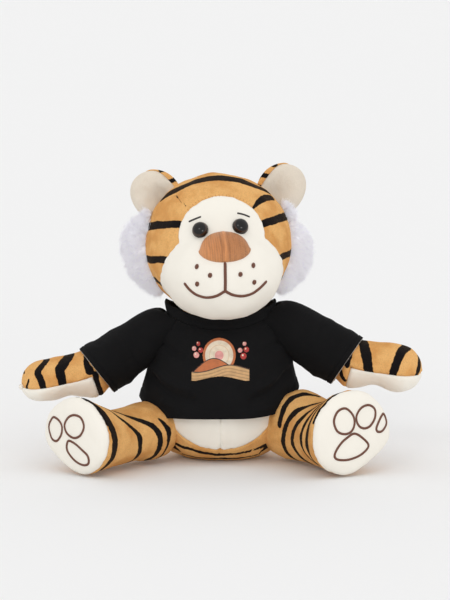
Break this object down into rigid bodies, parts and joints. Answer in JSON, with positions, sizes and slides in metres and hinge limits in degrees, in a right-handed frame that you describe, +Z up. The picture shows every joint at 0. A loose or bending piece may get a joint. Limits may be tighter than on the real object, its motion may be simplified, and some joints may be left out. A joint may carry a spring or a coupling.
{
  "type": "plush tiger",
  "caption": "Seated stuffed toy tiger with striped plush limbs, cream face and soles, long-pile cheek ruffs, safety eyes and a black T-shirt.",
  "frame": {"origin": "middle of the flat seat that the toy sits on, on the plane that the seat, heels and tail rest on", "axes": "+Z up, -Y the way the toy faces, +X towards the toy's own left hand"},
  "size_m": [0.3102, 0.2309, 0.2294],
  "materials": {
    "orange_plush": "short pile plush with printed black stripes",
    "cream_plush": "short pile plush",
    "long_pile": "long pile faux fur",
    "fibre_fill": "loose polyester fibre",
    "black_jersey": "matte cotton jersey",
    "print_film": "thin transfer print",
    "eye_plastic": "glossy dome",
    "washer_plastic": "moulded",
    "nose_thread": "satin stitch"
  },
  "bodies": {
    "torso": {"torso_cover": "orange_plush", "belly_panel_left": "cream_plush", "belly_panel_right": "cream_plush", "torso_stuffing": "fibre_fill", "shirt_body": "black_jersey", "shirt_collar": "black_jersey", "chest_print": "print_film"},
    "neck": {"neck_stuffing": "fibre_fill"},
    "head": {"head_cover": "orange_plush", "face_panel": "cream_plush", "head_stuffing": "fibre_fill", "nose": "nose_thread", "eye_left": "eye_plastic", "eye_washer_left": "washer_plastic", "ear_back_left": "orange_plush", "ear_lining_left": "cream_plush", "cheek_ruff_left": "long_pile", "eye_right": "eye_plastic", "eye_washer_right": "washer_plastic", "ear_back_right": "orange_plush", "ear_lining_right": "cream_plush", "cheek_ruff_right": "long_pile"},
    "arm_left": {"arm_cover_left": "orange_plush", "palm_panel_left": "cream_plush", "arm_left_stuffing": "fibre_fill", "sleeve_left": "black_jersey"},
    "arm_right": {"arm_cover_right": "orange_plush", "palm_panel_right": "cream_plush", "arm_right_stuffing": "fibre_fill", "sleeve_right": "black_jersey"},
    "leg_left": {"leg_cover_left": "orange_plush", "sole_panel_left": "cream_plush", "leg_left_stuffing": "fibre_fill"},
    "leg_right": {"leg_cover_right": "orange_plush", "sole_panel_right": "cream_plush", "leg_right_stuffing": "fibre_fill"},
    "tail": {"tail_cover": "orange_plush", "tail_stuffing": "fibre_fill"}
  },
  "joints": [
    {"name": "neck_turn", "type": "hinge", "parent": "torso", "child": "neck", "pos_m": [0, -0.004, 0.113], "axis": [0, 0, 1], "range_deg": [-17, 17], "stiffness_Nm_per_rad": 0.25},
    {"name": "neck_nod", "type": "hinge", "parent": "neck", "child": "head", "pos_m": [0, -0.004, 0.113], "axis": [1, 0, 0], "range_deg": [-12, 2], "stiffness_Nm_per_rad": 0.5},
    {"name": "shoulder_left", "type": "hinge", "parent": "torso", "child": "arm_left", "pos_m": [0.055, -0.006, 0.0985], "axis": [0, 1, 0], "range_deg": [-30, 4], "stiffness_Nm_per_rad": 0.15},
    {"name": "shoulder_right", "type": "hinge", "parent": "torso", "child": "arm_right", "pos_m": [-0.055, -0.006, 0.0945], "axis": [0, 1, 0], "range_deg": [-4, 30], "stiffness_Nm_per_rad": 0.15},
    {"name": "hip_left", "type": "hinge", "parent": "torso", "child": "leg_left", "pos_m": [0.056, -0.022, 0.026], "axis": [0, 0, 1], "range_deg": [-11, 20], "stiffness_Nm_per_rad": 0.15},
    {"name": "hip_right", "type": "hinge", "parent": "torso", "child": "leg_right", "pos_m": [-0.056, -0.026, 0.026], "axis": [0, 0, 1], "range_deg": [-14, 11], "stiffness_Nm_per_rad": 0.15},
    {"name": "tail_swing", "type": "hinge", "parent": "torso", "child": "tail", "pos_m": [0, 0.0465, 0.013], "axis": [0, 0, 1], "range_deg": [-50, 50], "stiffness_Nm_per_rad": 0.05}
  ]
}
